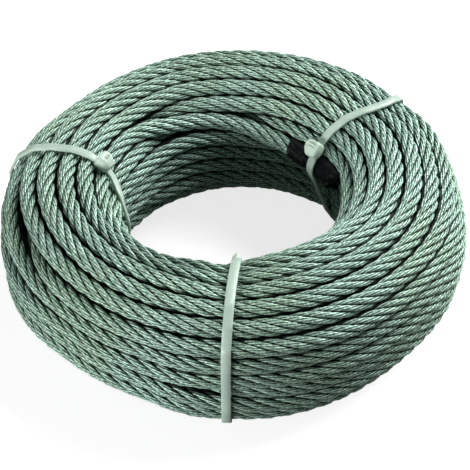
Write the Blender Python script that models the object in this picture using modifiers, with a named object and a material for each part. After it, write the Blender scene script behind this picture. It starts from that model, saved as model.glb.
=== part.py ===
"""Coil of 5 mm wire rope with a taped end, held by three cable ties.

Metres, +Z up. The coil lies flat with its axis on Z, and the straps that pass under it touch z = 0.
Azimuths are in degrees, counter-clockwise seen from above, from +X.
A place on the coil's section is an angle about the section's middle: 0 faces outwards, 90 is the top
and 180 faces the bore.
"""

import math

import bmesh
import bpy
from mathutils import Matrix, Vector

# Rope and coil
ROPE_DIA = 0.0050
COIL_OUTER_DIA = 0.1270
COIL_BORE_DIA = 0.0570
COIL_HEIGHT = 0.0405
CORNER_RADIUS = 0.0155

# Cable ties
STRAP_WIDTH = 0.0025
STRAP_THICKNESS = 0.0010
HEAD_WIDTH = 0.0048
HEAD_LENGTH = 0.0046
HEAD_HEIGHT = 0.0033
HEAD_ROUNDING = 0.0005
TAIL_RISE = 0.0012
TAIL_LENGTH = 0.0014
TIE_AZIMUTHS = {"front": -91.5, "left": 170.0, "right": 36.0}
HEAD_PLACES = {"front": 180.0, "left": 118.0, "right": 147.0}

# Taped end of the rope, in the coil's top inner edge
END_PLACE = 147.0
TAPE_AZIMUTH = 56.0
TAPE_LENGTH = 0.0200
TAPE_THICKNESS = 0.0004
END_DIA = 0.0048
BARE_END = 0.0010
RECESS_BEFORE = 0.0015
RECESS_AFTER = 0.0040

# Clearance between pieces that touch on the real object
GAP = 0.0003

# Fineness of the curved surfaces
COIL_STEPS = 48
BUMP_ANGLES = (-55.0, -20.0, 20.0, 55.0)
CIRCLE_POINTS = 24
TUBE_RESOLUTION = 4
ARC_STEP = 0.0020
MERGE = 0.00001

# Places that follow from the sizes
SECTION_RADIUS = (COIL_OUTER_DIA + COIL_BORE_DIA) / 4.0
HALF_WIDTH = (COIL_OUTER_DIA - COIL_BORE_DIA) / 4.0
HALF_HEIGHT = COIL_HEIGHT / 2.0
TAPE_INNER_RADIUS = END_DIA / 2.0 + GAP
TAPE_OUTER_RADIUS = TAPE_INNER_RADIUS + TAPE_THICKNESS
RECESS_RADIUS = TAPE_OUTER_RADIUS + GAP


def clear_scene():
    """Remove every object of the open scene."""
    for obj in list(bpy.data.objects):
        bpy.data.objects.remove(obj, do_unlink=True)


def new_collection(name):
    """Add a collection to the scene."""
    group = bpy.data.collections.new(name)
    bpy.context.scene.collection.children.link(group)
    return group


def make_material(name, colour, roughness, metallic):
    """Make a Principled material of one colour."""
    material = bpy.data.materials.new(name)
    material.use_nodes = True
    shader = material.node_tree.nodes["Principled BSDF"]
    shader.inputs["Base Color"].default_value = (*colour, 1.0)
    shader.inputs["Roughness"].default_value = roughness
    shader.inputs["Metallic"].default_value = metallic
    return material


def add_object(name, data, group, material=None):
    """Add an object with this mesh or curve to a collection."""
    obj = bpy.data.objects.new(name, data)
    group.objects.link(obj)
    if material is not None:
        obj.data.materials.append(material)
    return obj


def shade_round(obj):
    """Shade a mesh smooth, with sharp edges kept."""
    obj.data.shade_smooth()
    obj.data.set_sharp_from_angle(angle=math.radians(35.0))


def add_boolean(obj, cutter, operation):
    """Cut an object by another one, or join that one to it."""
    modifier = obj.modifiers.new(cutter.name, "BOOLEAN")
    modifier.operation = operation
    modifier.object = cutter
    cutter.hide_render = True
    cutter.display_type = "WIRE"


def rounded_outline(half_width, half_height, corner, distance):
    """Give the point of a rounded rectangle at a distance from its bottom middle.

    The walk goes by way of the outer side (+x), the top and the bore side. The second value is the
    direction that the outline faces there, in degrees.
    """
    flat_x = half_width - corner
    flat_y = half_height - corner
    quarter = math.pi / 2.0 * corner
    lengths = (flat_x, quarter, 2.0 * flat_y, quarter, 2.0 * flat_x, quarter, 2.0 * flat_y, quarter, flat_x)
    corners = ((flat_x, -flat_y), (flat_x, flat_y), (-flat_x, flat_y), (-flat_x, -flat_y))
    step = 0
    while step < len(lengths) - 1 and distance > lengths[step]:
        distance -= lengths[step]
        step += 1
    if step % 2 == 1:
        middle = Vector(corners[step // 2])
        facing = -90.0 + 90.0 * (step // 2) + math.degrees(distance / corner)
        return middle + corner * direction(facing), facing
    facing = -90.0 + 90.0 * (step // 2)
    along = direction(facing + 90.0)
    start = Vector((0.0, 0.0)) if step == 0 else Vector(corners[step // 2 - 1])
    return start + corner * direction(facing) + along * distance, facing


def direction(angle):
    """Give the unit vector in the plane at an angle in degrees."""
    return Vector((math.cos(math.radians(angle)), math.sin(math.radians(angle))))


def outer_turns():
    """Give the rope's places round the section, each with the direction that it faces.

    The turns lie a rope's thickness apart, and two of them straddle the bottom middle, so that a
    strap under them has a flat face.
    """
    half_width = HALF_WIDTH - ROPE_DIA / 2.0
    half_height = HALF_HEIGHT - ROPE_DIA / 2.0
    corner = min(CORNER_RADIUS, HALF_WIDTH, HALF_HEIGHT) - ROPE_DIA / 2.0
    perimeter = 4.0 * (half_width + half_height - 2.0 * corner) + 2.0 * math.pi * corner
    count = round(perimeter / ROPE_DIA)
    spacing = perimeter / count
    return [
        rounded_outline(half_width, half_height, corner, (number + 0.5) * spacing)
        for number in range(count)
    ]


def nearest_turn(turns, place):
    """Give the centre of the turn that lies nearest to a place on the section."""
    aim = direction(place)
    return max((centre for centre, _ in turns), key=lambda centre: centre.normalized().dot(aim))


def turned_coil(name, turns, level, group, material):
    """Turn the section, with a rounded bump for each turn of its surface, about the Z axis."""
    mesh = bpy.data.meshes.new(name)
    shape = bmesh.new()
    profile = []
    for centre, facing in turns:
        for angle in BUMP_ANGLES:
            point = centre + ROPE_DIA / 2.0 * direction(facing + angle)
            profile.append(shape.verts.new((SECTION_RADIUS + point.x, 0.0, level + point.y)))
    profile.reverse()
    for first, second in zip(profile, profile[1:] + profile[:1]):
        shape.edges.new((first, second))
    shape.to_mesh(mesh)
    shape.free()
    coil = add_object(name, mesh, group, material)
    screw = coil.modifiers.new("turn", "SCREW")
    screw.axis = "Z"
    screw.angle = math.radians(360.0)
    screw.steps = COIL_STEPS
    screw.render_steps = COIL_STEPS
    screw.use_merge_vertices = True
    screw.merge_threshold = MERGE
    return coil


def arc_tube(name, centre, level, radius, start, end, group, material=None):
    """Make a closed round tube that follows the coil between two lengths past TAPE_AZIMUTH.

    The lengths run clockwise, the way the rope's end points.
    """
    ring = SECTION_RADIUS + centre.x
    count = max(2, math.ceil((end - start) / ARC_STEP))
    curve = bpy.data.curves.new(name + "_path", "CURVE")
    curve.dimensions = "3D"
    curve.bevel_depth = radius
    curve.bevel_resolution = TUBE_RESOLUTION
    curve.use_fill_caps = True
    spline = curve.splines.new("POLY")
    spline.points.add(count)
    for number, point in enumerate(spline.points):
        length = start + (end - start) * number / count
        turn = math.radians(TAPE_AZIMUTH) - length / ring
        point.co = (ring * math.cos(turn), ring * math.sin(turn), level + centre.y, 1.0)
    return mesh_from_curve(name, curve, group, material)


def mesh_from_curve(name, curve, group, material=None, matrix=None):
    """Replace a curve by one closed mesh object of the same shape."""
    guide = bpy.data.objects.new(name + "_guide", curve)
    bpy.context.scene.collection.objects.link(guide)
    if matrix is not None:
        guide.matrix_world = matrix
    bpy.context.view_layer.update()
    graph = bpy.context.evaluated_depsgraph_get()
    mesh = bpy.data.meshes.new_from_object(guide.evaluated_get(graph))
    shape = bmesh.new()
    shape.from_mesh(mesh)
    bmesh.ops.remove_doubles(shape, verts=shape.verts, dist=MERGE)
    bmesh.ops.recalc_face_normals(shape, faces=shape.faces)
    shape.to_mesh(mesh)
    shape.free()
    obj = add_object(name, mesh, group, material)
    obj.matrix_world = guide.matrix_world.copy()
    bpy.data.objects.remove(guide, do_unlink=True)
    return obj


def hull(points):
    """Give the convex hull of points in the plane, counter-clockwise."""
    ordered = sorted((point.x, point.y) for point in points)

    def half(sequence):
        chain = []
        for x, y in sequence:
            while len(chain) > 1:
                (ax, ay), (bx, by) = chain[-2:]
                if (bx - ax) * (y - ay) - (by - ay) * (x - ax) > 1e-12:
                    break
                chain.pop()
            chain.append((x, y))
        return chain[:-1]

    return [Vector(point) for point in half(ordered) + half(ordered[::-1])]


def taut_outline(circles, clearance):
    """Give the outline of a band pulled taut round circles, at a clearance from them."""
    points = []
    for centre, radius in circles:
        for number in range(CIRCLE_POINTS):
            points.append(centre + (radius + clearance) * direction(360.0 * number / CIRCLE_POINTS))
    return hull(points)


def outline_at(outline, place):
    """Give the point of a closed outline at a place on the section, and the way that it faces there."""
    aim = direction(place)
    for first, second in zip(outline, outline[1:] + outline[:1]):
        edge = second - first
        across = aim.x * edge.y - aim.y * edge.x
        share = (first.y * aim.x - first.x * aim.y) / -across if across else -1.0
        if 0.0 <= share <= 1.0 and (first + share * edge).dot(aim) > 0.0:
            facing = math.degrees(math.atan2(-edge.x, edge.y))
            return first + share * edge, facing
    raise ValueError("The outline does not go round the section's middle.")


def add_block(name, size, rounding, place, group):
    """Make a block with rounded edges, placed by a matrix."""
    mesh = bpy.data.meshes.new(name)
    shape = bmesh.new()
    bmesh.ops.create_cube(shape, size=1.0, matrix=Matrix.Diagonal((*size, 1.0)))
    shape.to_mesh(mesh)
    shape.free()
    block = add_object(name, mesh, group)
    block.matrix_world = place
    if rounding > 0.0:
        bevel = block.modifiers.new("rounding", "BEVEL")
        bevel.width = rounding
        bevel.segments = 2
    return block


def cable_tie(side, circles, level, group, cutters, material):
    """Make one tie: a strap taut round the section, its head and the cut tail, as one moulding.

    In its own frame x points outwards from the coil's axis, y is up and z is across the strap.
    """
    name = "cable_tie_" + side
    frame = Matrix.Translation((0.0, 0.0, level))
    frame @= Matrix.Rotation(math.radians(TIE_AZIMUTHS[side]), 4, "Z")
    frame @= Matrix.Rotation(math.radians(90.0), 4, "X")
    inner = taut_outline(circles, GAP)
    outer = taut_outline(circles, GAP + STRAP_THICKNESS)

    curve = bpy.data.curves.new(name + "_outline", "CURVE")
    curve.dimensions = "2D"
    curve.fill_mode = "BOTH"
    curve.extrude = STRAP_WIDTH / 2.0
    for outline in (outer, inner):
        spline = curve.splines.new("POLY")
        spline.points.add(len(outline) - 1)
        spline.use_cyclic_u = True
        for point, place in zip(spline.points, outline):
            point.co = (SECTION_RADIUS + place.x, place.y, 0.0, 1.0)
    tie = mesh_from_curve(name, curve, group, material, frame)

    seat, facing = outline_at(inner, HEAD_PLACES[side])
    seat_frame = frame @ Matrix.Translation((SECTION_RADIUS + seat.x, seat.y, 0.0))
    seat_frame @= Matrix.Rotation(math.radians(facing), 4, "Z")
    head = add_block(
        name + "_head",
        (HEAD_HEIGHT, HEAD_LENGTH, HEAD_WIDTH),
        HEAD_ROUNDING,
        seat_frame @ Matrix.Translation((HEAD_HEIGHT / 2.0, 0.0, 0.0)),
        cutters,
    )
    tail = add_block(
        name + "_tail",
        (STRAP_THICKNESS, HEAD_LENGTH / 2.0 + TAIL_LENGTH, STRAP_WIDTH),
        0.0,
        seat_frame @ Matrix.Translation(
            (TAIL_RISE + STRAP_THICKNESS / 2.0, (HEAD_LENGTH / 2.0 + TAIL_LENGTH) / 2.0, 0.0)
        ),
        cutters,
    )
    add_boolean(tie, head, "UNION")
    add_boolean(tie, tail, "UNION")
    return tie


def build():
    """Build the coil, the taped end and the three ties."""
    clear_scene()
    parts = new_collection("wire_rope_coil")
    cutters = new_collection("cutters")
    steel = make_material("galvanised_steel", (0.36, 0.41, 0.38), 0.45, 0.9)
    nylon = make_material("natural_nylon", (0.72, 0.80, 0.73), 0.4, 0.0)
    vinyl = make_material("black_vinyl_tape", (0.015, 0.015, 0.018), 0.4, 0.0)

    turns = outer_turns()
    lowest = min(centre.y for centre, _ in turns) - ROPE_DIA / 2.0
    level = STRAP_THICKNESS + GAP - lowest
    end = nearest_turn(turns, END_PLACE)

    coil = turned_coil("rope_coil", turns, level, parts, steel)
    tape_end = TAPE_LENGTH + BARE_END
    recess = arc_tube(
        "end_recess", end, level, RECESS_RADIUS, -RECESS_BEFORE, tape_end + RECESS_AFTER, cutters
    )
    rope_end = arc_tube(
        "rope_end", end, level, END_DIA / 2.0, -RECESS_BEFORE - END_DIA / 4.0, tape_end, cutters
    )
    add_boolean(coil, recess, "DIFFERENCE")
    add_boolean(coil, rope_end, "UNION")
    shade_round(coil)

    tape = arc_tube("end_tape", end, level, TAPE_OUTER_RADIUS, 0.0, TAPE_LENGTH, parts, vinyl)
    tape_bore = arc_tube(
        "tape_bore", end, level, TAPE_INNER_RADIUS, -RECESS_BEFORE, TAPE_LENGTH + BARE_END, cutters
    )
    add_boolean(tape, tape_bore, "DIFFERENCE")
    shade_round(tape)

    circles = [(centre, ROPE_DIA / 2.0) for centre, _ in turns]
    taped_circles = circles + [(end, TAPE_OUTER_RADIUS)]
    for side in TIE_AZIMUTHS:
        held = taped_circles if side == "right" else circles
        cable_tie(side, held, level, parts, cutters, nylon)


build()
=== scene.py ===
"""Coil of 5 mm galvanised wire rope with a taped end, held by three cable ties.

Metres, +Z up. The coil lies flat with its axis on Z. Azimuths are in degrees, counter-clockwise seen
from above, from +X. A place on the coil's section is an angle about the section's middle: 0 faces
outwards, 90 is the top and 180 faces the bore.
"""

import math

import bpy
import numpy as np
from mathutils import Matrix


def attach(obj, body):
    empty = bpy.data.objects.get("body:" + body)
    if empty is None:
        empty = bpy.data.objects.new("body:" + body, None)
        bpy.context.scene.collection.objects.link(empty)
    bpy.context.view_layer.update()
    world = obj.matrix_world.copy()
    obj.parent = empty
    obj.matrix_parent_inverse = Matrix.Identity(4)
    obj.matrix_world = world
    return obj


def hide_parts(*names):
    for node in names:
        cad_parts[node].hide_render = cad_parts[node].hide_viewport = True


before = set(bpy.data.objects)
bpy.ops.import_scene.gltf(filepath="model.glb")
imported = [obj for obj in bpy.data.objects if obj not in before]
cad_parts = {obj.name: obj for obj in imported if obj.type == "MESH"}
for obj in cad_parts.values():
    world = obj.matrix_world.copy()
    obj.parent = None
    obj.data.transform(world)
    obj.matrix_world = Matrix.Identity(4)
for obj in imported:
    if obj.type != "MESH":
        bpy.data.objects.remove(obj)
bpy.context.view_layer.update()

# The wound rope
# Some 12 m of 5 mm rope lie in 41 and a half turns. They are wound on a drum that is then taken out, in
# layers from the bore outwards, and the last turns run inwards over the top to the taped end.
ROPE_DIA = 0.0050
TURNS = 41.5
STATIONS = 72
SECTION_RADIUS = 0.0460
SECTION_LEVEL = 0.02124
HALF_WIDTH = 0.0150
HALF_HEIGHT = 0.01805
CORNER = 0.0130
SAG = 0.00060
END_AZIMUTH = 18.4
LAYER_COUNTS = (3, 5, 6, 7, 7, 6, 5, 3)
TIE_AZIMUTHS = {"front": -91.5, "left": 170.0, "right": 36.0}

# How far the bundle reaches past its plain outline, in millimetres by azimuth: on the outside, in the
# bore and on the top. Then the last turn's places on the section, by degrees back from the rope's end.
OUTER_REACH = (
    (0, -0.8), (8, -0.6), (20, 0.5), (30, 0.9), (45, 0.3), (52, -0.2), (62, -0.3), (75, -0.4),
    (85, -0.4), (100, -0.5), (112, -1.0), (125, -1.9), (140, -2.0), (152, -1.6), (160, 0.1),
    (168, 1.0), (174, 1.2), (180, 0.6), (195, 0.6), (203, 0.2), (213, -0.6), (222, -1.8),
    (235, -2.0), (243, -2.2), (250, -2.0), (258, -0.3), (265, 0.6), (272, 0.5), (285, -0.9),
    (300, -1.3), (310, -1.8), (322, -1.6), (333, -0.9), (343, 0.2), (352, -0.1),
)
INNER_REACH = (
    (5, -0.6), (20, -1.8), (35, -1.9), (48, -2.2), (58, -2.0), (70, -1.6), (85, -0.9), (105, -0.3),
    (120, 0.0), (135, -0.2), (146, -0.6), (162, -1.0), (172, -1.8), (190, -2.4), (210, -3.0),
    (228, -2.4), (240, -2.0), (248, -1.2), (255, 0.1), (265, 1.0), (275, 1.6), (290, 1.2),
    (305, 0.9), (318, 0.0), (333, -0.8), (350, -0.4),
)
TOP_REACH = (
    (0, -0.3), (25, 0.1), (40, -0.2), (70, -0.1), (90, -0.4), (115, -1.0), (145, -1.0), (165, 0.0),
    (190, 0.0), (228, -0.8), (250, -0.3), (270, 0.6), (290, 1.0), (312, 0.9), (335, 0.0),
)
END_WAY = (
    (0, -0.0176, 0.0078), (17, -0.0182, 0.0068), (32, -0.0184, 0.0072), (52, -0.0170, 0.0084),
    (72, -0.0150, 0.0103), (95, -0.0135, 0.0120), (130, -0.0120, 0.0135),
)
TAPE_LENGTH = 0.0184
TAPE_RADIUS = 0.0030

# The pull of the ties: how far the bundle is drawn in at a tie and swells between them, and within how
# many degrees of a tie it is drawn in and its turns lie less freely.
TIE_PINCH = -0.00090
BUNDLE_SWELL = 0.00055
PINCH_DEGREES = 18.0
HELD_DEGREES = 20.0

# The passage of each turn from its place to the next, as shares of the turn: the spread of its middle,
# and the least and greatest width.
PASSAGE_SPREAD = 0.12
PASSAGE_WIDTHS = (0.25, 0.5)

# The slack of the outer turns and the stir that mixes the turns at first, each random at knots that are
# some steps apart.
SLACK = 0.00035
SLACK_STEPS = 20
STIR = 0.0001
STIR_STEPS = 12
STIR_SHARE = 0.6

# The push between turns, a softer one that starts a little before they touch, and how much each move
# and the rope itself are evened out.
PUSH = 0.5
SOFT_PUSH = 0.06
SOFT_REACH = 1.07
MOST_MOVE = 0.0008
MOVE_SHARE = 0.9
SMOOTH_SHARE = 0.85
STIFFNESS = 0.25

# The draw of the turns near the outline out to it. It is stronger in the early rounds and over the
# rope's end, and the last turn is held to its own way.
DRAW = 0.12
DRAW_REACH = 0.0040
EARLY_DRAW = 0.5
EARLY_SHARE = 0.7
END_DRAW = 0.5
END_DRAW_AZIMUTH = 60.0
END_DRAW_DEGREES = 40.0
END_DRAW_HEIGHT = 0.010
END_HOLD = 0.6
FAR_AWAY = 1.0
TANGENT_STEP = 0.05
WINDING_SEED = 39
WINDING_ROUNDS = 900


def smooth_step(share):
    """Rise from 0 to 1 with level ends: three times the square of the share less twice its cube."""
    share = np.clip(share, 0.0, 1.0)
    return share * share * (3.0 - 2.0 * share)


def outline_distance(places):
    """Give how far places lie outside a rounded rectangle about the section's middle, and the way out.

    The distance from the rectangle that the corners' middles make, less the corner's radius.
    """
    past = np.abs(places) - np.array([HALF_WIDTH - CORNER, HALF_HEIGHT - CORNER])
    outside = np.maximum(past, 0.0)
    length = np.hypot(outside[..., 0], outside[..., 1]) + 1e-12
    way = outside / length[..., None] * np.sign(places)
    return length + np.minimum(past.max(axis=-1), 0.0) - CORNER, way


def first_places():
    """Give the section's places in the order that the rope fills them.

    Layers of one radius each are filled upwards and downwards by turns. The top place of each layer but
    the first is kept for the last turns, which run from the outside inwards.
    """
    radii = np.linspace(-HALF_WIDTH, HALF_WIDTH, len(LAYER_COUNTS))
    order, kept = [], []
    for layer, (radius, count) in enumerate(zip(radii, LAYER_COUNTS)):
        past = max(0.0, abs(radius) - (HALF_WIDTH - CORNER))
        reach = HALF_HEIGHT - CORNER + math.sqrt(max(0.0, CORNER**2 - past**2))
        places = [(radius, height) for height in np.linspace(-reach, reach, count)]
        if layer > 0:
            kept.insert(0, places.pop())
        order += places if layer % 2 == 0 else places[::-1]
    return np.array(order + kept)


def spread_along(values, times):
    """Even out values along the rope: each becomes the 1 4 6 4 1 mean of itself and its neighbours."""
    for _ in range(times):
        padded = np.concatenate([values[:1], values[:1], values, values[-1:], values[-1:]])
        ends = padded[:-4] + padded[4:]
        values = (ends + 4.0 * (padded[1:-3] + padded[3:-1]) + 6.0 * padded[2:-2]) / 16.0
    return values


def reach_at(table, azimuth):
    """Read a table of millimetres by azimuth, closed round, in metres."""
    at, value = np.array(table).T
    closed = np.concatenate([at - 360.0, at, at + 360.0])
    return np.interp(azimuth % 360.0, closed, np.tile(value, 3)) / 1000.0


def degrees_between(azimuth, other):
    """Give the angle between azimuths, the shorter way round."""
    return np.abs((azimuth - other + 180.0) % 360.0 - 180.0)


def bundle_room(azimuth):
    """Give how far the bundle swells at an azimuth, and how freely its turns lie, from 0 to 1.

    Both rise with a smooth step of the angle to the nearest tie.
    """
    from_tie = np.min([degrees_between(azimuth, tie) for tie in TIE_AZIMUTHS.values()], axis=0)
    swell = TIE_PINCH + (BUNDLE_SWELL - TIE_PINCH) * smooth_step(from_tie / PINCH_DEGREES)
    return swell, smooth_step(from_tie / HELD_DEGREES)


def in_turns(places):
    """Set places along the rope out in rows of one turn each, so that a column is one azimuth.

    What the first row lacks is filled with places far away, each by itself.
    """
    rows = math.ceil(len(places) / STATIONS)
    spare = rows * STATIONS - len(places)
    table = np.full((rows * STATIONS, 2), FAR_AWAY)
    table[:spare] += np.arange(spare)[:, None]
    table[spare:] = places
    return table.reshape(rows, STATIONS, 2)


def wind_rope():
    """Give the rope's places on the section at each station, from its inner start to its taped end.

    Each turn starts in one place and ends in the next. Then, round after round, turns that lie closer
    than their thickness are moved apart by a share of what is missing. The moves are evened out along
    the rope, and the rope itself a little too, as it is stiff. What is outside the bundle's outline is
    moved in, and the turns next to it are drawn out to it. The last turn is drawn to its own way.
    """
    random = np.random.default_rng(WINDING_SEED)
    order = first_places()
    last = len(order) - 1
    count = int(round(TURNS * STATIONS)) + 1
    steps = np.arange(count)
    azimuth = END_AZIMUTH + 360.0 / STATIONS * (count - 1 - steps)
    turn = last - (count - 1 - steps) / STATIONS
    number = np.clip(np.floor(turn).astype(int), 0, last - 1)
    middle = random.normal(0.5, PASSAGE_SPREAD, last + 1)[number]
    width = random.uniform(*PASSAGE_WIDTHS, last + 1)[number]
    share = smooth_step((turn - number - middle) / width + 0.5)[:, None]
    places = order[number] * (1.0 - share) + order[number + 1] * share

    rows = math.ceil(count / STATIONS)
    spare = rows * STATIONS - count
    radius = np.full(rows * STATIONS, ROPE_DIA / 2.0)
    step_length = 2.0 * math.pi / STATIONS * (SECTION_RADIUS + END_WAY[0][1])
    radius[-int(TAPE_LENGTH / step_length) - 1:] = TAPE_RADIUS
    radius = radius.reshape(rows, STATIONS)
    apart = radius[:, None] + radius[None]
    room, free = bundle_room(azimuth)
    slack = random.normal(0.0, SLACK, count // SLACK_STEPS + 2)
    room = room + free * np.interp(steps, np.arange(len(slack)) * SLACK_STEPS, slack)
    reaches = [reach_at(table, azimuth) for table in (OUTER_REACH, INNER_REACH, TOP_REACH)]
    back, end_radial, end_level = np.array(END_WAY).T
    from_end = 360.0 / STATIONS * (count - 1 - steps)
    end_way = [np.interp(from_end, back, values) for values in (end_radial, end_level)]
    end_way = np.stack(end_way, axis=-1)
    by_end = smooth_step(1.5 - degrees_between(azimuth, END_DRAW_AZIMUTH) / END_DRAW_DEGREES)
    held = END_HOLD * smooth_step(2.0 * (1.0 - from_end / back[-1]))[:, None]
    for sweep in range(WINDING_ROUNDS):
        progress = sweep / WINDING_ROUNDS
        table = in_turns(places)
        between = table[:, None] - table[None]
        distance = np.sqrt((between**2).sum(axis=-1)) + 1e-12
        push = PUSH * np.maximum(apart - distance, 0.0)
        push = push + SOFT_PUSH * np.maximum(SOFT_REACH * apart - distance, 0.0)
        push[np.arange(rows), np.arange(rows)] = 0.0
        move = (between / distance[..., None] * push[..., None]).sum(axis=1).reshape(-1, 2)[spare:]
        size = np.hypot(move[:, 0], move[:, 1]) + 1e-12
        move *= np.minimum(1.0, MOST_MOVE / size)[:, None]
        if progress < STIR_SHARE:
            stir = STIR * (1.0 - progress / STIR_SHARE)
            knots = random.normal(0.0, stir, (count // STIR_STEPS + 2, 2))
            at = np.arange(len(knots)) * STIR_STEPS
            move += np.stack([np.interp(steps, at, knots[:, axis]) for axis in (0, 1)], axis=-1)
        places = places + MOVE_SHARE * spread_along(move, 2 if progress < SMOOTH_SHARE else 1)
        places = places + STIFFNESS * (spread_along(places, 2) - places)
        outside, way = outline_distance(places)
        shares = np.maximum([way[:, 0], -way[:, 0], way[:, 1]], 0.0)
        shares[1] *= 1.0 - by_end * smooth_step(places[:, 1] / END_DRAW_HEIGHT)
        allowed = room + sum(share * reach for share, reach in zip(shares, reaches))
        over = outside - allowed
        early = 1.0 + EARLY_DRAW * (1.0 - smooth_step(progress / EARLY_SHARE))
        draw_depth = DRAW_REACH * (early + END_DRAW * by_end)
        drawn_out = DRAW * early * over * smooth_step(1.0 + over / draw_depth)
        drawn = np.where(over > 0.0, over, drawn_out)
        places = places - (drawn * (1.0 - held[:, 0]))[:, None] * way
        places[:, 1] = np.maximum(places[:, 1], -HALF_HEIGHT - SAG)
        places = places + held * (end_way - places)
    return places


def at_steps(values, where):
    """Read rows of values between their steps, on the cubic through the four nearest rows."""
    step = np.clip(np.floor(where).astype(int), 0, len(values) - 2)
    share = (where - step).reshape(-1, *([1] * (values.ndim - 1)))
    before, first = values[np.maximum(step - 1, 0)], values[step]
    second, after = values[step + 1], values[np.minimum(step + 2, len(values) - 1)]
    bend = 2.0 * before - 5.0 * first + 4.0 * second - after
    twist = -before + 3.0 * first - 3.0 * second + after
    return first + 0.5 * share * ((second - before) + share * (bend + share * twist))


def azimuth_at(where):
    """Give the azimuths of steps along the rope, in radians, counted back from the rope's end."""
    return np.radians(END_AZIMUTH + 360.0 / STATIONS * (len(wound_places) - 1 - where))


def rope_points(where):
    """Give points of the rope's middle line: the place on the section, turned to its azimuth."""
    place, turn = at_steps(wound_places, where), azimuth_at(where)
    radius, height = SECTION_RADIUS + place[:, 0], SECTION_LEVEL + place[:, 1]
    return np.stack([radius * np.cos(turn), radius * np.sin(turn), height], axis=-1)


def rope_frame(where):
    """Give points of the middle line and three unit vectors there: outwards, upwards and along.

    Along is the way from just before each point to just after it. Outwards is the way from the coil's
    axis, less its part along the rope, and upwards is square to both.
    """
    along = rope_points(where + TANGENT_STEP) - rope_points(where - TANGENT_STEP)
    along /= np.linalg.norm(along, axis=1)[:, None]
    turn = azimuth_at(where)
    outwards = np.stack([np.cos(turn), np.sin(turn), np.zeros_like(turn)], axis=-1)
    outwards -= (outwards * along).sum(axis=1)[:, None] * along
    outwards /= np.linalg.norm(outwards, axis=1)[:, None]
    return rope_points(where), outwards, np.cross(along, outwards), along


wound_places = wind_rope()
fine_steps = np.linspace(0.0, len(wound_places) - 1.0, 8 * (len(wound_places) - 1) + 1)
fine_points = rope_points(fine_steps)
fine_gaps = np.linalg.norm(np.diff(fine_points, axis=0), axis=1)
fine_lengths = np.concatenate([[0.0], np.cumsum(fine_gaps)])

# The six strands and the fibre core
# Each strand is six wires of 0.54 mm laid round a seventh, and the six strands are laid to the right
# round a fibre core. The wires are hot-dip galvanised steel, laid to the left in the strand, so that on
# the rope's surface they run along it.
STRAND_CENTRE = 0.001697
STRAND_RADIUS = 0.000803
ROPE_LAY = 0.0310
CREST_ANGLE = 14.0
CREST_RADIUS = 0.00078
VALLEY_RADIUS = 0.00052
WIRE_TURN = STRAND_CENTRE / STRAND_RADIUS
SEEN_STEP = 0.0023
HIDDEN_STEP = 0.0054
END_STRETCH = 0.03
SIGHT_WAYS = 48
SIGHT_WIDTH = 0.0026
SIGHT_START = 0.001
MOST_TWIST = math.radians(52.0)
CORE_RADIUS = 0.0009
CORE_SIDES = 6
CORE_RING_EVERY = 4


def new_piece(name, grid, across, along, material, **marks):
    """Make a mesh of a grid of points, rings by points round each ring, closed round.

    Each two neighbouring points of two neighbouring rings make a face. The ends are capped by a fan of
    triangles from the middle of the end ring. The map called lay holds across and along at each corner,
    and each mark is an attribute of one number a point.
    """
    rings, sides = grid.shape[:2]
    index = np.arange(rings * sides).reshape(rings, sides)
    following = np.roll(index, -1, axis=1)
    quads = np.stack([index[:-1], following[:-1], following[1:], index[1:]], axis=-1).reshape(-1, 4)
    edge = np.append(across, across[0] + 1.0)
    shape = (len(index) - 1, sides)
    sides_of_faces = (edge[:-1], edge[1:], along[:-1, None], along[1:, None])
    left, right, low, high = (np.broadcast_to(values, shape) for values in sides_of_faces)
    lay = [np.stack([left, low, right, low, right, high, left, high], axis=-1).reshape(-1, 2)]
    points, corners, starts = [grid.reshape(-1, 3)], [quads.ravel()], [np.arange(len(quads)) * 4]
    for ring, place in ((index[0][::-1], 0), (index[-1], -1)):
        pole = rings * sides + len(points) - 1
        points.append(grid[place].mean(axis=0)[None])
        fan = np.stack([ring, np.roll(ring, -1), np.full(sides, pole)], axis=-1)
        starts.append(sum(len(part) for part in corners) + np.arange(sides) * 3)
        corners.append(fan.ravel())
        lay.append(np.full((sides * 3, 2), along[place]))
    points, corners, starts, lay = (np.concatenate(part) for part in (points, corners, starts, lay))
    mesh = bpy.data.meshes.new(name)
    mesh.vertices.add(len(points))
    mesh.vertices.foreach_set("co", points.astype(np.float32).ravel())
    mesh.loops.add(len(corners))
    mesh.loops.foreach_set("vertex_index", corners.astype(np.int32))
    mesh.polygons.add(len(starts))
    mesh.polygons.foreach_set("loop_start", starts.astype(np.int32))
    mesh.update(calc_edges=True)
    mesh.polygons.foreach_set("use_smooth", np.arange(len(starts)) < len(quads))
    mesh.uv_layers.new(name="lay").data.foreach_set("uv", lay.astype(np.float32).ravel())
    for mark, values in marks.items():
        values = np.append(values.ravel(), np.full(len(points) - values.size, values.max()))
        mesh.attributes.new(mark, "FLOAT", "POINT").data.foreach_set("value", values.astype(np.float32))
    mesh.materials.append(material)
    piece = bpy.data.objects.new(name, mesh)
    bpy.context.scene.collection.objects.link(piece)
    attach(piece, "root")
    return piece


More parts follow.
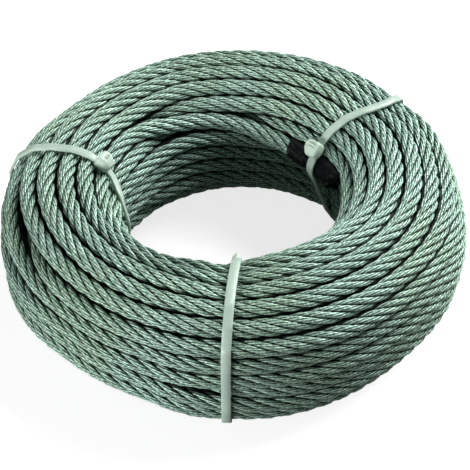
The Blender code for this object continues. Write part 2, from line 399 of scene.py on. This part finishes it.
def open_ways():
    """Tell at each station which straight ways out of the bundle are free, from 1 to 0.

    A way is a ray across the section from the rope's middle. It is shut where another turn's middle
    lies ahead within SIGHT_WIDTH of it. Each way then takes the mean of its neighbours, twice over.
    """
    table = in_turns(wound_places)
    between = table[None] - table[:, None]
    free = np.ones((*table.shape[:2], SIGHT_WAYS))
    for number, way in enumerate(np.linspace(0.0, 2.0 * math.pi, SIGHT_WAYS, endpoint=False)):
        ahead = between[..., 0] * math.cos(way) + between[..., 1] * math.sin(way)
        aside = between[..., 1] * math.cos(way) - between[..., 0] * math.sin(way)
        free[..., number] = ~((ahead > SIGHT_START) & (np.abs(aside) < SIGHT_WIDTH)).any(axis=1)
    for _ in range(2):
        free = (np.roll(free, 1, axis=-1) + free + np.roll(free, -1, axis=-1)) / 3.0
    return free.reshape(-1, SIGHT_WAYS)[-len(wound_places):]


def ring_steps():
    """Give the rings' steps along the rope, close together where it shows and far apart inside.

    The rings are numbered by the sum of the lengths along the rope, each over the spacing wanted there.
    """
    free_near = np.convolve(free_ways.sum(axis=1), np.ones(3), mode="same")
    seen = np.interp(fine_steps, np.arange(len(wound_places)), free_near)
    near_ends = np.minimum(fine_lengths, fine_lengths[-1] - fine_lengths) < END_STRETCH
    spacing = np.where((seen > 0.0) | near_ends, SEEN_STEP, HIDDEN_STEP)
    between = 0.5 * (spacing[1:] + spacing[:-1])
    tally = np.concatenate([[0.0], np.cumsum(np.diff(fine_lengths) / between)])
    count = int(round(tally[-1])) + 1
    return np.interp(np.linspace(0.0, tally[-1], count), tally, fine_steps)


def openness_at(first, second):
    """Read how free the ways are at points of the rings, by each point's way from the rope's middle."""
    way = np.arctan2(second, first) * SIGHT_WAYS / (2.0 * math.pi) % SIGHT_WAYS
    low = np.floor(way).astype(int) % SIGHT_WAYS
    row = np.arange(len(rings))[:, None]
    share = way - np.floor(way)
    return ring_ways[row, low] * (1.0 - share) + ring_ways[row, (low + 1) % SIGHT_WAYS] * share


def strand_points(number):
    """Give a strand's surface, its map across, and how far out and how open each of its points is.

    The strand's middle is on a right-hand helix about the rope. Its outline, six crests with a valley
    after each, turns the other way and is stretched across by the slant of the strand. How far out a
    point is, is its distance from the rope's middle over the rope's radius.
    """
    lobe = np.radians(60.0) * np.arange(6)[:, None]
    angle = (lobe + np.radians([-CREST_ANGLE, CREST_ANGLE, 30.0])).ravel()
    radius = np.tile([CREST_RADIUS, CREST_RADIUS, VALLEY_RADIUS], 6)
    helix = (2.0 * math.pi / ROPE_LAY * ring_lengths + math.radians(60.0) * number)[:, None]
    turned = angle - wire_turns[:, None] - helix
    slant = math.hypot(1.0, 2.0 * math.pi * STRAND_CENTRE / ROPE_LAY)
    out = STRAND_CENTRE + radius * np.cos(turned)
    side = radius * np.sin(turned) * slant
    first = out * np.cos(helix) - side * np.sin(helix)
    second = out * np.sin(helix) + side * np.cos(helix)
    grid = ring_middles[:, None] + first[..., None] * ring_out[:, None]
    grid = grid + second[..., None] * ring_up[:, None]
    far_out = np.hypot(first, second) / (ROPE_DIA / 2.0)
    return grid, angle / (2.0 * math.pi) + number, far_out, openness_at(first, second)


free_ways = open_ways()
rings = ring_steps()
ring_ways = at_steps(free_ways, rings)
ring_lengths = np.interp(rings, fine_steps, fine_lengths)
ring_middles, ring_out, ring_up, _ = rope_frame(rings)
wire_rate = 2.0 * math.pi / ROPE_LAY * WIRE_TURN * np.diff(ring_lengths)
wire_turns = np.concatenate([[0.0], np.cumsum(np.minimum(wire_rate, MOST_TWIST))])


def new_material(name, colour, roughness, metallic):
    """Make a material, and give it with its node tree and its Principled shader."""
    material = bpy.data.materials.new(name)
    material.use_nodes = True
    shader = material.node_tree.nodes["Principled BSDF"]
    shader.inputs["Base Color"].default_value = (*colour, 1.0)
    shader.inputs["Roughness"].default_value = roughness
    shader.inputs["Metallic"].default_value = metallic
    return material, material.node_tree, shader


def add_node(tree, kind, inputs=(), **settings):
    """Add a node: its settings by name, and its inputs each from a socket or a plain value."""
    node = tree.nodes.new(kind)
    for name, value in settings.items():
        setattr(node, name, value)
    for socket, value in dict(inputs).items():
        if isinstance(value, bpy.types.NodeSocket):
            tree.links.new(value, node.inputs[socket])
        else:
            node.inputs[socket].default_value = value
    return node


def mix_colours(tree, share, first, second, blend="MIX"):
    """Add a colour mix of two colours or sockets by a share."""
    node = tree.nodes.new("ShaderNodeMix")
    node.data_type, node.blend_type = "RGBA", blend
    sockets = [node.inputs[place] for place in (0, 6, 7)]
    for socket, value in zip(sockets, (share, first, second)):
        if isinstance(value, bpy.types.NodeSocket):
            tree.links.new(value, socket)
        else:
            socket.default_value = (*value, 1.0) if isinstance(value, tuple) else value
    return node.outputs[2]


def ramp(tree, value, low, high, start=0.0, end=1.0):
    """Add a smooth change from start to end as the value goes from low to high."""
    inputs = {"Value": value, "From Min": low, "From Max": high, "To Min": start, "To Max": end}
    node = add_node(tree, "ShaderNodeMapRange", inputs, interpolation_type="SMOOTHSTEP")
    return node.outputs["Result"]


def calculate(tree, operation, first, second=0.0, third=0.0):
    """Add an operation on up to three values or sockets, and give its result."""
    inputs = {0: first, 1: second, 2: third}
    return add_node(tree, "ShaderNodeMath", inputs, operation=operation).outputs[0]


def read_mark(tree, name):
    """Add the reading of a mark, an attribute of one number a point."""
    return add_node(tree, "ShaderNodeAttribute", attribute_name=name).outputs["Fac"]


def read_lay(tree):
    """Add the reading of the map called lay: across the piece in X, and along it in Y."""
    place = add_node(tree, "ShaderNodeUVMap", uv_map="lay").outputs["UV"]
    return add_node(tree, "ShaderNodeSeparateXYZ", {0: place}).outputs


def add_bump(tree, shader, height, distance, strength):
    """Add a bump to a shader: a height of 1 stands out by the distance."""
    inputs = {"Height": height, "Distance": distance, "Strength": strength}
    bump = add_node(tree, "ShaderNodeBump", inputs)
    tree.links.new(bump.outputs["Normal"], shader.inputs["Normal"])


def new_group(name, inputs, outputs):
    """Make a shader node group, and give its tree, its inputs and its outputs."""
    tree = bpy.data.node_groups.new(name, "ShaderNodeTree")
    for socket, kind in inputs.items():
        tree.interface.new_socket(name=socket, in_out="INPUT", socket_type=kind)
    for socket, kind in outputs.items():
        tree.interface.new_socket(name=socket, in_out="OUTPUT", socket_type=kind)
    given, made = tree.nodes.new("NodeGroupInput"), tree.nodes.new("NodeGroupOutput")
    return tree, given.outputs, made.inputs


# Uneven handling marks, which the steel, the tape and the nylon share: soft blotches with fine specks.
marks, given, made = new_group(
    "handling_marks",
    {"Blotch Scale": "NodeSocketFloat", "Speck Scale": "NodeSocketFloat"},
    {"Blotches": "NodeSocketFloat", "Specks": "NodeSocketFloat"},
)
place = add_node(marks, "ShaderNodeTexCoord").outputs["Object"]
coarse = {"Vector": place, "Scale": given["Blotch Scale"], "Detail": 3.0}
fine = {"Vector": place, "Scale": given["Speck Scale"], "Detail": 2.0}
blotches = add_node(marks, "ShaderNodeTexNoise", coarse)
specks = add_node(marks, "ShaderNodeTexNoise", fine)
marks.links.new(ramp(marks, blotches.outputs["Fac"], 0.30, 0.70), made["Blotches"])
marks.links.new(ramp(marks, specks.outputs["Fac"], 0.35, 0.65), made["Specks"])

# The wires' look: bright zinc streaked with dull and olive in soft blotches. The base colour is also
# darkened to near black as painted shade in the grooves between strands, between wires and wherever the
# rope lies hidden in the bundle.
# Each wire's streaks have their own place in the noise.
ZINC_BRIGHT = (0.53, 0.75, 0.66)
ZINC_DULL = (0.27, 0.405, 0.347)
ZINC_OLIVE = (0.95, 0.94, 0.84)
GROOVE_SHADE = (0.002, 0.004, 0.003)
STREAK_SCALE = 1300.0
WIRE_STRIDE = 7.31

wire_steel, tree, shader = new_material("galvanised_wire", ZINC_BRIGHT, 0.36, 0.9)
lay = read_lay(tree)
wires = calculate(tree, "MULTIPLY", lay["X"], 6.0)
from_crest = calculate(tree, "PINGPONG", wires, 0.5)
wire_number = calculate(tree, "FLOOR", calculate(tree, "ADD", wires, 0.5))
scales = {"Blotch Scale": 35.0, "Speck Scale": 1400.0}
group = add_node(tree, "ShaderNodeGroup", scales, node_tree=marks)
streak_x = calculate(tree, "MULTIPLY", wire_number, WIRE_STRIDE)
streak_y = calculate(tree, "MULTIPLY", lay["Y"], STREAK_SCALE)
streak_place = add_node(tree, "ShaderNodeCombineXYZ", {"X": streak_x, "Y": streak_y}).outputs[0]
streaks = add_node(tree, "ShaderNodeTexNoise", {"Vector": streak_place, "Scale": 1.0, "Detail": 2.0})
streak = ramp(tree, streaks.outputs["Fac"], 0.38, 0.62)
# Painted shade: groove, valley and in_view darken the base colour to near black in the strand grooves,
# between wires and deep in the bundle, and lower the metal there.
groove = ramp(tree, read_mark(tree, "depth"), 0.61, 0.86)
valley = ramp(tree, from_crest, 0.49, 0.22)
in_view = ramp(tree, read_mark(tree, "openness"), 0.05, 0.50, 0.04, 1.0)
unshaded = calculate(tree, "MULTIPLY", calculate(tree, "MULTIPLY", groove, valley), in_view)
zinc = mix_colours(tree, streak, ZINC_DULL, ZINC_BRIGHT)
zinc = mix_colours(tree, group.outputs["Blotches"], zinc, ZINC_OLIVE, "MULTIPLY")
tree.links.new(mix_colours(tree, unshaded, GROOVE_SHADE, zinc), shader.inputs["Base Color"])
tree.links.new(ramp(tree, unshaded, 0.0, 0.5, 0.0, 0.60), shader.inputs["Metallic"])
shader.inputs["Specular IOR Level"].default_value = 0.15
streak_rough = ramp(tree, streak, 0.0, 1.0, 0.58, 0.47)
rough = calculate(tree, "MULTIPLY_ADD", group.outputs["Specks"], 0.12, streak_rough)
tree.links.new(rough, shader.inputs["Roughness"])
height = calculate(tree, "MULTIPLY_ADD", group.outputs["Specks"], 0.2, valley)
add_bump(tree, shader, height, 0.00013, 0.8)

core_fibre, _, _ = new_material("core_fibre", (0.12, 0.095, 0.06), 0.9, 0.0)

for number in range(6):
    grid, across, far_out, openness = strand_points(number)
    numbers = {"depth": far_out, "openness": openness}
    name = f"strand_{number + 1}"
    new_piece(name, grid, across, ring_lengths, wire_steel, **numbers)
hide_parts("rope_coil")

middles, out, up, _ = rope_frame(np.unique(np.append(rings[::CORE_RING_EVERY], rings[-1])))
angle = np.linspace(0.0, 2.0 * math.pi, CORE_SIDES, endpoint=False)
wall = np.cos(angle)[:, None] * out[:, None] + np.sin(angle)[:, None] * up[:, None]
grid = middles[:, None] + CORE_RADIUS * wall
across, along = angle / (2.0 * math.pi), np.linspace(0.0, 1.0, len(grid))
core = new_piece("fibre_core", grid, across, along, core_fibre)

# The tape on the rope's end
# Black vinyl tape, 19 mm wide, goes twice round the rope before it is cut, so that the strands can't
# spring apart. It is wrinkled where it grips the lay, and the cable tie's head presses on it.
TAPE_THICKNESS = 0.0002
TAPE_WRAPS = 2.3
TAPE_SIDES = 60
TAPE_RINGS = 76
TAPE_GRIP = 0.00009
TAPE_WRINKLE = 0.00016
TAPE_WRINKLE_WAVES = 7
TAPE_SLANT = 0.0009
TAPE_SLANT_SIDE = 240.0
TAPE_SLANT_RINGS = 20
TIP_LENGTH = 0.0014
TIP_RINGS = 8
TIP_FOLDS = 5.0
TIP_FOLD_DEPTH = 0.18
TIP_CLOSING = 0.98
TIP_SLANT = 0.4
TAPE_SEED = 11
TAPE_BLACK = (0.0020, 0.0030, 0.0036)
TAPE_DUST = (0.006, 0.008, 0.008)


def smooth_noise(random, rings, sides, waves):
    """Give soft random heights about 0 on a grid that is closed round.

    They are the sum of sine waves of random phase, each of up to seven lengths along the grid and six
    round it, over the square root of their number.
    """
    ring, side = np.meshgrid(np.arange(rings) / rings, np.arange(sides) / sides, indexing="ij")
    heights = np.zeros((rings, sides))
    for _ in range(waves):
        along, around = random.uniform(-7.0, 7.0), random.integers(-6, 7)
        heights += np.sin(2.0 * math.pi * (along * ring + around * side + random.random()))
    return heights / waves**0.5


def wrap_tape(name, start, end, material):
    """Wrap tape round the rope between two lengths, and pinch it together past the rope's end.

    Its radius grows by a thickness with each wrap, follows the six strands a little and is wrinkled.
    Its first edge slants. Past the end its rings slant too, and shrink along a quarter circle, with
    folds, to a closed tip. The first ring lies inside the rope.
    """
    random = np.random.default_rng(TAPE_SEED)
    lengths = np.linspace(start, end, TAPE_RINGS)
    middles, out, up, along = rope_frame(np.interp(lengths, fine_lengths, fine_steps))
    angle = np.linspace(0.0, 2.0 * math.pi, TAPE_SIDES, endpoint=False)[None]
    strand = 6.0 * (angle - 2.0 * math.pi / ROPE_LAY * lengths[:, None])
    layers = np.floor(TAPE_WRAPS - angle / (2.0 * math.pi)) + 1.0
    radius = ROPE_DIA / 2.0 - TAPE_GRIP + TAPE_THICKNESS * layers + TAPE_GRIP * np.cos(strand)
    wrinkles = np.abs(smooth_noise(random, TAPE_RINGS, TAPE_SIDES, TAPE_WRINKLE_WAVES))
    radius = radius + TAPE_WRINKLE * wrinkles
    radius = np.minimum(radius, TAPE_RADIUS)
    inner = np.full((1, TAPE_SIDES), ROPE_DIA / 2.0 - 3.0 * TAPE_GRIP)
    tip = np.linspace(0.0, 1.0, TIP_RINGS + 1)[1:, None]
    folds = 1.0 + TIP_FOLD_DEPTH * np.sin(np.pi * tip) * np.cos(TIP_FOLDS * angle + 1.0)
    closing = np.sqrt(1.0 - (TIP_CLOSING * tip) ** 2) * folds * radius[-1:]
    fade = smooth_step(1.0 - (np.arange(TAPE_RINGS + 2)[:, None] - 2.0) / TAPE_SLANT_RINGS)
    past = TAPE_SLANT * fade * np.cos(angle - math.radians(TAPE_SLANT_SIDE))
    past = np.concatenate([past, TIP_LENGTH * tip * (1.0 + TIP_SLANT * np.sin(angle))])
    radius = np.concatenate([inner, radius[:1] - TAPE_THICKNESS / 2.0, radius, closing])
    rows = np.concatenate([[0, 0], np.arange(TAPE_RINGS), np.full(TIP_RINGS, TAPE_RINGS - 1)])
    wall = np.cos(angle)[..., None] * out[rows, None] + np.sin(angle)[..., None] * up[rows, None]
    grid = middles[rows, None] + radius[..., None] * wall + past[..., None] * along[rows, None]
    return new_piece(name, grid, angle[0] / (2.0 * math.pi), lengths[rows], material)


vinyl, tree, shader = new_material("black_vinyl", TAPE_BLACK, 0.34, 0.0)
scales = {"Blotch Scale": 260.0, "Speck Scale": 2200.0}
group = add_node(tree, "ShaderNodeGroup", scales, node_tree=marks)
dusty = calculate(tree, "MULTIPLY", group.outputs["Blotches"], group.outputs["Specks"])
tree.links.new(mix_colours(tree, dusty, TAPE_BLACK, TAPE_DUST), shader.inputs["Base Color"])
tree.links.new(ramp(tree, group.outputs["Blotches"], 0.0, 1.0, 0.36, 0.52), shader.inputs["Roughness"])
shader.inputs["Specular IOR Level"].default_value = 0.11
add_bump(tree, shader, group.outputs["Specks"], 0.00004, 0.5)

tape_end = fine_lengths[-1]
tape = wrap_tape("vinyl_tape", tape_end - TAPE_LENGTH, tape_end, vinyl)
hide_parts("end_tape")

# The three cable ties
# Each is one moulding of natural nylon, 2.5 mm wide: a strap with teeth on its inner face, and a head
# that the strap's other end is pulled through and cut off. They hold the bundle in three places.
STRAP_WIDTH = 0.0025
STRAP_THICKNESS = 0.0008
STRAP_CORNER = 0.00018
STRAP_CLEARANCE = 0.00004
STRAP_FLAT = 0.55
STRAP_GIRTH = 0.125
TOOTH_PITCH = 0.0009
TOOTH_HEIGHT = 0.0002
RINGS_PER_TOOTH = 3
HULL_SIDES = 48
TAPE_MARGIN = 0.001
UNDER_STRAP = 2.0
TANGENT_ROUNDS = 6
LEAN_SPREAD = 0.05
HEAD_WIDTH = 0.0048
HEAD_LENGTH = 0.0046
HEAD_HEIGHT = 0.0039
HEAD_SQUARENESS = 5.0
HEAD_TAPER = 0.22
HEAD_SIDES = 44
HEAD_RINGS = 29
TAIL_BEND = 0.0014
TAIL_BEND_RINGS = 8
TAIL_POINT = 0.0023
TAIL_NARROWING = 0.85
TAIL_LENGTHS = {"front": 0.0087, "left": 0.0052, "right": 0.0066}
NYLON_PALE = (0.48, 0.595, 0.515)
NYLON_DEEP = (0.40, 0.52, 0.445)
NYLON_THICK = (0.52, 0.64, 0.54)

# The heads' places on the section, and the straps' azimuths by place on the section, both in degrees.
HEAD_PLACES = {"front": 164.0, "left": 118.9, "right": 147.0}
LEANS = {
    "front": {
        0.0: -92.0, 38.0: -92.1, 54.0: -91.9, 74.0: -91.5, 90.0: -91.0, 105.0: -90.3, 124.0: -89.2,
        140.0: -88.8, 165.0: -88.7, 195.0: -90.0, 300.0: -92.0,
    },
    "left": {
        15.0: 168.5, 40.0: 168.8, 60.0: 169.4, 79.0: 170.2, 97.0: 170.1, 104.0: 170.6, 110.0: 171.6,
        123.0: 173.4, 134.0: 175.8, 140.0: 180.5, 148.0: 186.0, 165.0: 189.0, 190.0: 188.0,
        220.0: 183.0, 270.0: 175.0, 330.0: 169.0,
    },
    "right": {
        0.0: 41.0, 20.0: 40.8, 35.0: 39.8, 50.0: 37.2, 65.0: 34.6, 80.0: 32.9, 93.0: 33.5,
        104.0: 34.9, 118.0: 36.4, 127.0: 37.4, 137.0: 37.9, 147.0: 37.4, 158.0: 34.6, 170.0: 31.8,
        186.0: 31.6, 198.0: 31.7, 207.0: 31.6, 222.0: 31.0, 250.0: 32.0, 300.0: 38.0,
    },
}


def outer_hull(points):
    """Give the convex outline of points in the plane, counter-clockwise from the leftmost one.

    The points are gone through from left to right and back, and a point where the chain turns to the
    right, by the cross product of its last two steps, is dropped.
    """
    points = points[np.lexsort((points[:, 1], points[:, 0]))]
    halves = []
    for part in (points, points[::-1]):
        chain = []
        for point in part:
            while len(chain) > 1:
                (first_x, first_y), (second_x, second_y) = chain[-2:]
                turn = (second_x - first_x) * (point[1] - first_y)
                turn -= (second_y - first_y) * (point[0] - first_x)
                if turn > 1e-15:
                    break
                chain.pop()
            chain.append(tuple(point))
        halves += chain[:-1]
    return np.array(halves)


def hull_reach(azimuth, way):
    """Give how far the hull of the turns at an azimuth reaches from the section's middle each way.

    Each turn is a circle. The reach is the least distance along the way to the line of any hull edge.
    The circles are lifted off the floor by the strap's thickness, which passes under them.
    """
    step = (len(wound_places) - 1) - ((azimuth - END_AZIMUTH) % 360.0) * STATIONS / 360.0
    steps = np.arange(step, 0.0, -STATIONS)
    taped = np.interp(steps, fine_steps, fine_lengths) > tape_end - TAPE_LENGTH - TAPE_MARGIN
    radius = np.where(taped, TAPE_RADIUS, ROPE_DIA / 2.0) + STRAP_CLEARANCE
    angle = np.linspace(0.0, 2.0 * math.pi, HULL_SIDES, endpoint=False)
    circle = np.stack([np.cos(angle), np.sin(angle)], axis=-1)
    spots = (at_steps(wound_places, steps)[:, None] + radius[:, None, None] * circle).reshape(-1, 2)
    spots[:, 1] = np.maximum(spots[:, 1], STRAP_THICKNESS + STRAP_CLEARANCE - SECTION_LEVEL)
    outline = outer_hull(spots)
    edge = np.roll(outline, -1, axis=0) - outline
    normal = np.stack([edge[:, 1], -edge[:, 0]], axis=-1)
    facing = way @ normal.T
    crossed = (outline * normal).sum(axis=1) / np.maximum(facing, 1e-12)
    return np.where(facing > 1e-12, crossed, FAR_AWAY).min(axis=1)


def taut_path(side, count):
    """Give a strap's way round the section from its head and back.

    These are its places, its outward vectors, its azimuths and its length. It is the convex outline of
    the turns that lie under the strap, gone round at an even pace from the head's place. The outward
    vectors and the azimuths, which follow the strap's lean, are evened out along it.
    """
    lean = LEANS[side]
    keys = np.array(sorted(lean))
    keys = np.concatenate([keys - 360.0, keys, keys + 360.0])
    values = np.tile([lean[key] for key in sorted(lean)], 3)
    around = np.arange(0.0, 360.0, 0.5)
    way = np.stack([np.cos(np.radians(around)), np.sin(np.radians(around))], axis=-1)
    under = np.arange(min(lean.values()) - 3.0, max(lean.values()) + 3.1, 1.0)
    reach = np.array([hull_reach(azimuth, way) for azimuth in under])
    near = np.abs(under[:, None] - np.interp(around, keys, values)) < UNDER_STRAP
    outline = outer_hull(way * np.where(near, reach, 0.0).max(axis=0)[:, None])
    at = np.degrees(np.arctan2(outline[:, 1], outline[:, 0]))
    past_head = (at - HEAD_PLACES[side]) % 360.0
    outline = np.roll(outline, -np.argmin(past_head), axis=0)
    outline = np.concatenate([outline, outline[:1]])
    travelled = np.concatenate([[0.0], np.cumsum(np.hypot(*np.diff(outline, axis=0).T))])
    head = np.interp(360.0, [past_head.max(), 360.0 + past_head.min()], travelled[-2:])
    even = (head + np.linspace(0.0, travelled[-1], count, endpoint=False)) % travelled[-1]
    places = np.stack([np.interp(even, travelled, outline[:, axis]) for axis in (0, 1)], axis=-1)
    tangent = np.roll(places, -1, axis=0) - np.roll(places, 1, axis=0)
    for _ in range(TANGENT_ROUNDS):
        neighbours = np.roll(tangent, 1, axis=0) + np.roll(tangent, -1, axis=0)
        tangent = 0.5 * tangent + 0.25 * neighbours
    tangent /= np.linalg.norm(tangent, axis=1)[:, None]
    normal = np.stack([tangent[:, 1], -tangent[:, 0]], axis=-1)
    azimuths = np.interp(np.degrees(np.arctan2(places[:, 1], places[:, 0])) % 360.0, keys, values)
    for _ in range(int(count * LEAN_SPREAD)):
        azimuths = 0.5 * azimuths + 0.25 * (np.roll(azimuths, 1) + np.roll(azimuths, -1))
    return places, normal, azimuths, travelled[-1]


def on_section(places, azimuths):
    """Give the points of places on the section at azimuths."""
    turn = np.radians(azimuths)
    radius, height = SECTION_RADIUS + places[..., 0], SECTION_LEVEL + places[..., 1]
    return np.stack([radius * np.cos(turn), radius * np.sin(turn), height], axis=-1)


def rounded_bar(width, thickness, corner):
    """Give the outline of a bar with cut corners, counter-clockwise: across it, and up from below."""
    half, low = width / 2.0, corner
    return np.array(
        [
            (-half, low), (-half + low, 0.0), (-half * STRAP_FLAT, 0.0), (half * STRAP_FLAT, 0.0),
            (half - low, 0.0), (half, low), (half, thickness - low), (half - low, thickness),
            (0.0, thickness), (-half + low, thickness), (-half, thickness - low),
        ]
    )


def make_tie(side, material):
    """Make one tie's strap and head.

    The strap is a bar's outline carried along the taut path, with teeth as steps of its inner face. Its
    end bends outwards on a quarter circle and stands out of the head, where it is cut off. Its width
    shrinks there by the square of the share of the point passed. The head is a block whose outline is a
    superellipse, shrunk towards its two ends as one and narrowed to the root.
    """
    count = int(STRAP_GIRTH / TOOTH_PITCH) * RINGS_PER_TOOTH
    places, normal, azimuths, perimeter = taut_path(side, count)
    pitch = perimeter / count
    middles = on_section(places, azimuths)
    along = np.roll(middles, -1, axis=0) - np.roll(middles, 1, axis=0)
    along /= np.linalg.norm(along, axis=1)[:, None]
    outward = on_section(places + 0.001 * normal, azimuths) - middles
    outward -= (outward * along).sum(axis=1)[:, None] * along
    outward /= np.linalg.norm(outward, axis=1)[:, None]
    base, forward, upward = middles[0], along[0], outward[0]
    sideways = np.cross(forward, upward)

    loop = count - int(TAIL_BEND / pitch)
    bend = np.linspace(0.0, 0.5 * math.pi, TAIL_BEND_RINGS)[1:, None]
    stub = np.arange(1, int((TAIL_LENGTHS[side] - TAIL_BEND) / pitch) + 1)[:, None] * pitch
    start = middles[loop - 1]
    turned = start + TAIL_BEND * (np.sin(bend) * forward + (1.0 - np.cos(bend)) * upward)
    middles = np.concatenate([middles[:loop], turned, turned[-1] + stub * upward])
    facing = np.cos(bend) * upward - np.sin(bend) * forward
    outward = np.concatenate([outward[:loop], facing, np.repeat(-forward[None], len(stub), axis=0)])
    along = np.gradient(middles, axis=0)
    along /= np.linalg.norm(along, axis=1)[:, None]
    across = np.cross(along, outward)
    across /= np.linalg.norm(across, axis=1)[:, None]
    rows = np.arange(len(middles))
    bar = rounded_bar(STRAP_WIDTH, STRAP_THICKNESS, STRAP_CORNER)
    height = np.tile(bar[:, 1], (len(rows), 1))
    height[:, 2:4] += TOOTH_HEIGHT * ((rows % RINGS_PER_TOOTH) / (RINGS_PER_TOOTH - 1.0))[:, None]
    from_tip = (rows[-1] - rows) * pitch
    narrow = 1.0 - TAIL_NARROWING * np.maximum(0.0, 1.0 - from_tip / TAIL_POINT) ** 2
    grid = middles[:, None] + (narrow[:, None] * bar[:, 0])[..., None] * across[:, None]
    grid = grid + height[..., None] * outward[:, None]
    share = np.arange(len(bar)) / len(bar)
    bulk = np.repeat(smooth_step((rows - loop) * pitch / TAIL_BEND), len(bar))
    lengths = rows * pitch
    strap = new_piece(f"tie_{side}_strap", grid, share, lengths, material, bulk=bulk)

    angle = np.linspace(0.0, 2.0 * math.pi, HEAD_SIDES, endpoint=False)
    power = 2.0 / HEAD_SQUARENESS
    outline_x = np.sign(np.cos(angle)) * np.abs(np.cos(angle)) ** power * HEAD_WIDTH / 2.0
    outline_y = np.sign(np.sin(angle)) * np.abs(np.sin(angle)) ** power * HEAD_HEIGHT / 2.0
    reach = np.sin(np.linspace(-0.5 * math.pi, 0.5 * math.pi, HEAD_RINGS))
    shrink = (1.0 - np.abs(reach) ** HEAD_SQUARENESS) ** (1.0 / HEAD_SQUARENESS)
    shrink = np.maximum(shrink, 0.02) * (1.0 - HEAD_TAPER * smooth_step(reach))
    level = HEAD_HEIGHT / 2.0 * (1.0 - HEAD_TAPER * smooth_step(reach))
    grid = (
        base
        + (reach * HEAD_LENGTH / 2.0)[:, None, None] * forward
        + (shrink[:, None] * outline_x)[..., None] * sideways
        + (level[:, None] + shrink[:, None] * outline_y)[..., None] * upward
    )
    bulk, share = np.ones(grid.shape[:2]), angle / (2.0 * math.pi)
    head = new_piece(f"tie_{side}_head", grid, share, reach, material, bulk=bulk)
    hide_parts(f"cable_tie_{side}")


nylon, tree, shader = new_material("natural_nylon", NYLON_PALE, 0.38, 0.0)
scales = {"Blotch Scale": 120.0, "Speck Scale": 1500.0}
group = add_node(tree, "ShaderNodeGroup", scales, node_tree=marks)
colour = mix_colours(tree, group.outputs["Blotches"], NYLON_PALE, NYLON_DEEP)
colour = mix_colours(tree, read_mark(tree, "bulk"), colour, NYLON_THICK)
tree.links.new(colour, shader.inputs["Base Color"])
tree.links.new(ramp(tree, group.outputs["Specks"], 0.0, 1.0, 0.30, 0.45), shader.inputs["Roughness"])
shader.inputs["Subsurface Weight"].default_value = 0.35
shader.inputs["Subsurface Radius"].default_value = (0.0009, 0.0011, 0.0009)
shader.inputs["Subsurface Scale"].default_value = 1.0
waves = calculate(tree, "MULTIPLY", read_lay(tree)["Y"], 2.0 * math.pi / TOOTH_PITCH)
height = calculate(tree, "MULTIPLY_ADD", calculate(tree, "SINE", waves), 0.35, group.outputs["Specks"])
add_bump(tree, shader, height, 0.00003, 0.5)
for side in TIE_AZIMUTHS:
    make_tie(side, nylon)

# The floor, light and camera
# A pale sweep under soft studio light from the right and above. The camera is at the photo's angle.
FLOOR_GLOW = 0.78
ROOM_LIGHT = 0.06
CAMERA_ELEVATION = 42.4
CAMERA_DISTANCE = 0.470
CAMERA_LENS = 129.6
CAMERA_SHIFT = -0.028
CAMERA_TARGET = (0.0, 0.0, 0.0215)

floor_mesh = bpy.data.meshes.new("floor")
floor_mesh.from_pydata([(-3, -3, 0), (3, -3, 0), (3, 3, 0), (-3, 3, 0)], [], [(0, 1, 2, 3)])
floor = bpy.data.objects.new("floor", floor_mesh)
bpy.context.scene.collection.objects.link(floor)
floor_paint, _, floor_shader = new_material("floor_paint", (0.5, 0.5, 0.5), 0.8, 0.0)
floor_mesh.materials.append(floor_paint)
floor_shader.inputs["Emission Color"].default_value = (1.0, 1.0, 1.0, 1.0)
floor_shader.inputs["Emission Strength"].default_value = FLOOR_GLOW
floor.visible_diffuse = False
floor.visible_glossy = False

world = bpy.data.worlds.new("studio")
bpy.context.scene.world = world
world.use_nodes = True
backdrop = world.node_tree.nodes["Background"]
backdrop.inputs["Color"].default_value = (1.0, 1.0, 1.0, 1.0)
backdrop.inputs["Strength"].default_value = ROOM_LIGHT
bpy.context.scene.view_settings.view_transform = "Standard"


def add_light(name, place, width, height, power):
    """Add a soft box, a rectangular area light, that faces the coil."""
    data = bpy.data.lights.new(name, "AREA")
    data.shape = "RECTANGLE"
    data.size, data.size_y = width, height
    data.energy = power
    light = bpy.data.objects.new(name, data)
    light.location = place
    direction = -light.location.normalized()
    light.rotation_euler = direction.to_track_quat("-Z", "Y").to_euler()
    bpy.context.scene.collection.objects.link(light)


add_light("key", (0.54, 0.42, 0.64), 0.80, 0.80, 17.0)
add_light("fill", (-0.74, -0.66, 0.22), 1.20, 0.14, 13.0)

camera_data = bpy.data.cameras.new("camera")
camera_data.lens = CAMERA_LENS
camera_data.sensor_width = 36.0
camera_data.shift_y = CAMERA_SHIFT
camera_data.clip_start = 0.01
camera = bpy.data.objects.new("camera", camera_data)
tilt = math.radians(CAMERA_ELEVATION)
camera.location = (
    CAMERA_TARGET[0],
    CAMERA_TARGET[1] - CAMERA_DISTANCE * math.cos(tilt),
    CAMERA_TARGET[2] + CAMERA_DISTANCE * math.sin(tilt),
)
camera.rotation_euler = (math.radians(90.0) - tilt, 0.0, 0.0)
bpy.context.scene.collection.objects.link(camera)
bpy.context.scene.camera = camera
